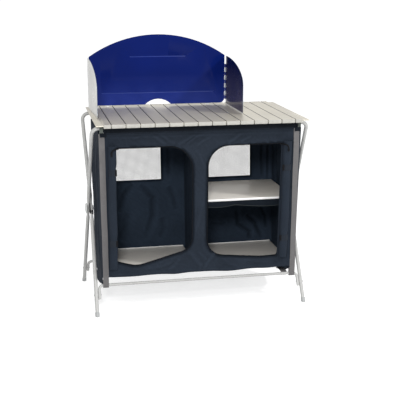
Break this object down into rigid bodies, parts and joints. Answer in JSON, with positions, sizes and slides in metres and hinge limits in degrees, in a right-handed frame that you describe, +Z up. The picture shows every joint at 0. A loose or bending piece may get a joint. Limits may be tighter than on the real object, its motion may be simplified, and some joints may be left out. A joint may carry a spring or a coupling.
{
  "type": "camping cupboard",
  "caption": "Folding camping cupboard: crossed tube frame, hung cloth cabinet with two door openings and shelf, slatted lift-off top and folding metal windscreen.",
  "frame": {"origin": "on the floor under the middle of the slatted top", "axes": "+Z up, +Y from the open front towards the back, +X to the right seen from the front"},
  "size_m": [0.9588, 0.54, 1.128],
  "materials": {
    "tube": "pale grey coated aluminium tube",
    "steel": "bright fastener steel",
    "black_plastic": "black moulding",
    "pale_plastic": "pale grey moulding",
    "grey_plastic": "grey-green moulding",
    "foot": "grey moulded boot",
    "slat": "ribbed, satin, with pale moulded ends",
    "sheet": "gloss blue inside, pale grey outside",
    "outer_cloth": "dark slate coated polyester weave",
    "inner_cloth": "near-black coated polyester weave",
    "net": "pale fly net",
    "board": "grey laminated board with a white front edge",
    "webbing": "woven grey webbing"
  },
  "bodies": {
    "stand": {"frame_front_top": "tube", "lower_bar_rear": "tube", "foot_rear_left": "foot", "foot_rear_right": "foot", "rivet_rear_left": "steel", "rivet_rear_right": "steel", "pivot_bolt_left": "steel", "pivot_bolt_right": "steel", "pivot_spacer_left": "black_plastic", "pivot_spacer_right": "black_plastic", "pivot_cap_left": "pale_plastic", "pivot_cap_right": "pale_plastic", "floor_board_left": "board", "floor_board_right": "board", "shelf_board": "board", "front_panel": "outer_cloth", "back_wall": "inner_cloth", "side_wall_left": "outer_cloth", "side_wall_right": "outer_cloth", "centre_divider": "inner_cloth", "cabinet_floor": "inner_cloth", "window_net_left": "net", "window_net_right": "net", "shelf_sling": "inner_cloth", "rolled_door_left": "outer_cloth", "rolled_door_right": "outer_cloth", "corner_strap_left": "webbing", "corner_strap_right": "webbing", "floor_strap": "webbing"},
    "folding_frame": {"frame_rear_top": "tube", "lower_bar_front": "tube", "foot_front_left": "foot", "foot_front_right": "foot", "rivet_front_left": "steel", "rivet_front_right": "steel"},
    "table_top": {"slat_01": "slat", "slat_02": "slat", "slat_03": "slat", "slat_04": "slat", "slat_05": "slat", "slat_06": "slat", "slat_07": "slat", "slat_08": "slat", "slat_09": "slat", "slat_10": "slat", "slat_11": "slat", "slat_12": "slat", "slat_13": "slat", "slat_14": "slat", "slat_15": "slat", "table_clip_front_left": "grey_plastic", "table_clip_front_right": "grey_plastic", "table_clip_rear_left": "grey_plastic", "table_clip_rear_right": "grey_plastic"},
    "windscreen": {"windscreen_back": "sheet", "hinge_pin_left": "steel", "hinge_pin_right": "steel"},
    "wing_left": {"windscreen_wing_left": "sheet"},
    "wing_right": {"windscreen_wing_right": "sheet"}
  },
  "joints": [
    {"name": "frame_fold", "type": "hinge", "parent": "stand", "child": "folding_frame", "pos_m": [0, 0, 0.408], "axis": [1, 0, 0], "range_deg": [0, 44], "deforming": ["front_panel", "back_wall", "side_wall_left", "side_wall_right", "centre_divider", "cabinet_floor", "window_net_left", "window_net_right", "shelf_sling", "rolled_door_left", "rolled_door_right", "corner_strap_left", "corner_strap_right", "floor_strap"]},
    {"name": "table_lift", "type": "slide", "parent": "stand", "child": "table_top", "axis": [0, 0, 1], "range_m": [0, 0.2]},
    {"name": "windscreen_lift", "type": "slide", "parent": "table_top", "child": "windscreen", "axis": [0, 0, 1], "range_m": [0, 0.15]},
    {"name": "wing_left_swing", "type": "hinge", "parent": "windscreen", "child": "wing_left", "pos_m": [-0.425, 0.21, 0.9], "axis": [0, 0, 1], "range_deg": [-30, 88]},
    {"name": "wing_right_swing", "type": "hinge", "parent": "windscreen", "child": "wing_right", "pos_m": [0.193, 0.21, 0.9], "axis": [0, 0, 1], "range_deg": [-88, 30]}
  ],
  "couplings": [
    {"joint": "table_lift", "follows": "frame_fold", "m_per_rad": 0.26}
  ]
}
